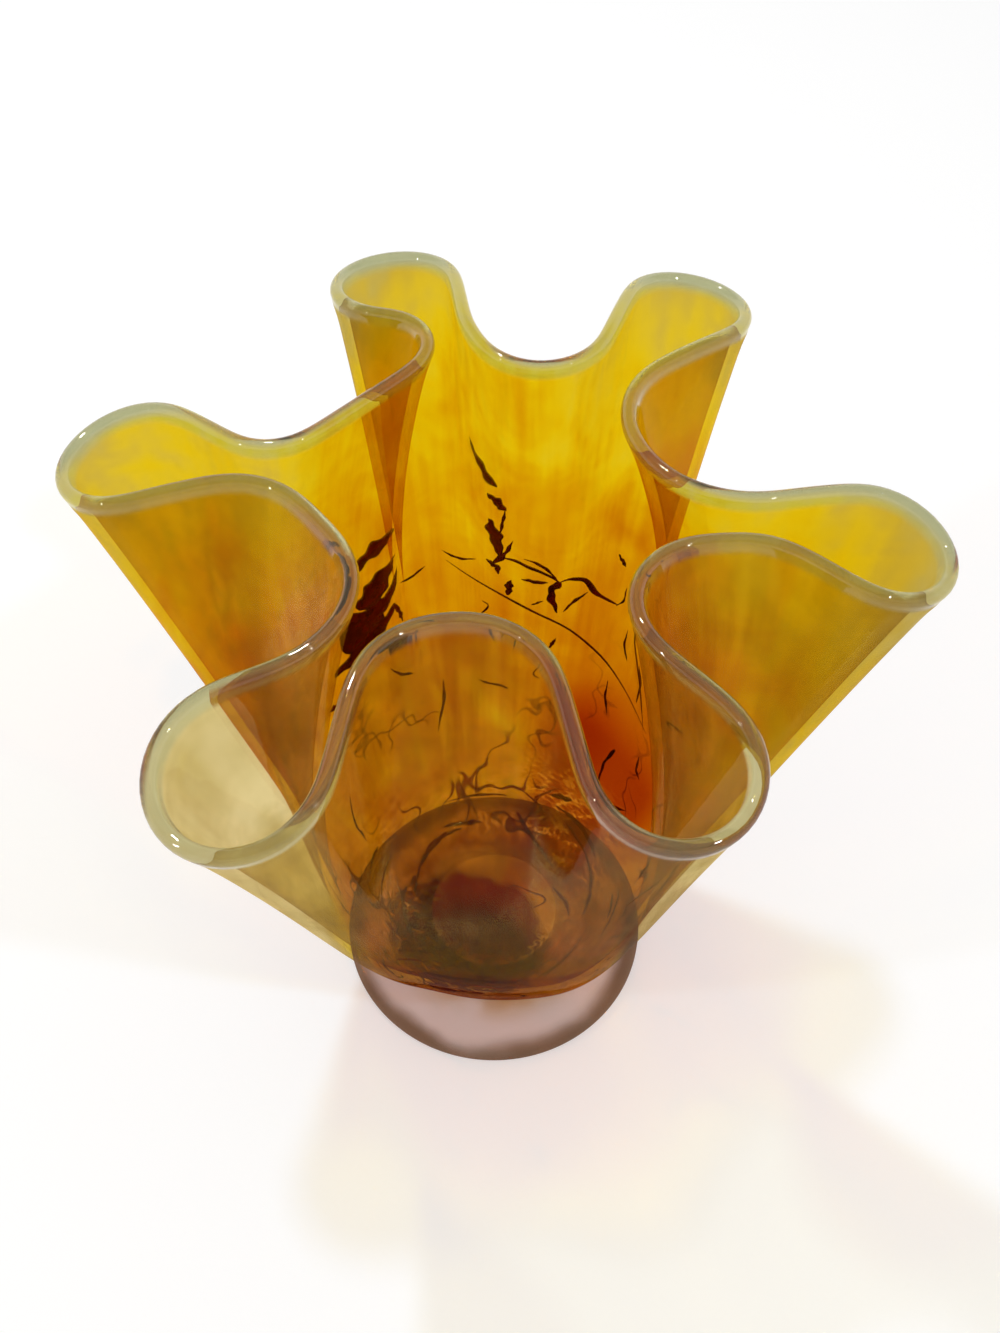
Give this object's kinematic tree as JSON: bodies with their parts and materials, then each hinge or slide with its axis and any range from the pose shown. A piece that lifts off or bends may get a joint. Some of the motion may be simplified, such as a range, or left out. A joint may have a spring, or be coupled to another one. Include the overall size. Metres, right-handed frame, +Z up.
{
  "type": "handkerchief vase",
  "caption": "Blown-glass vase whose wall is drawn up into deep lobes like a lifted handkerchief, on a spread round foot.",
  "frame": {"origin": "centre of the flat underside of the foot", "axes": "+Z up through the mouth, -Y toward the viewer, +X to the picture's right"},
  "size_m": [0.188, 0.1682, 0.1961],
  "materials": {
    "amber_glass": "clear amber glass, polished"
  },
  "bodies": {
    "root": {"vase": "amber_glass"}
  },
  "joints": []
}
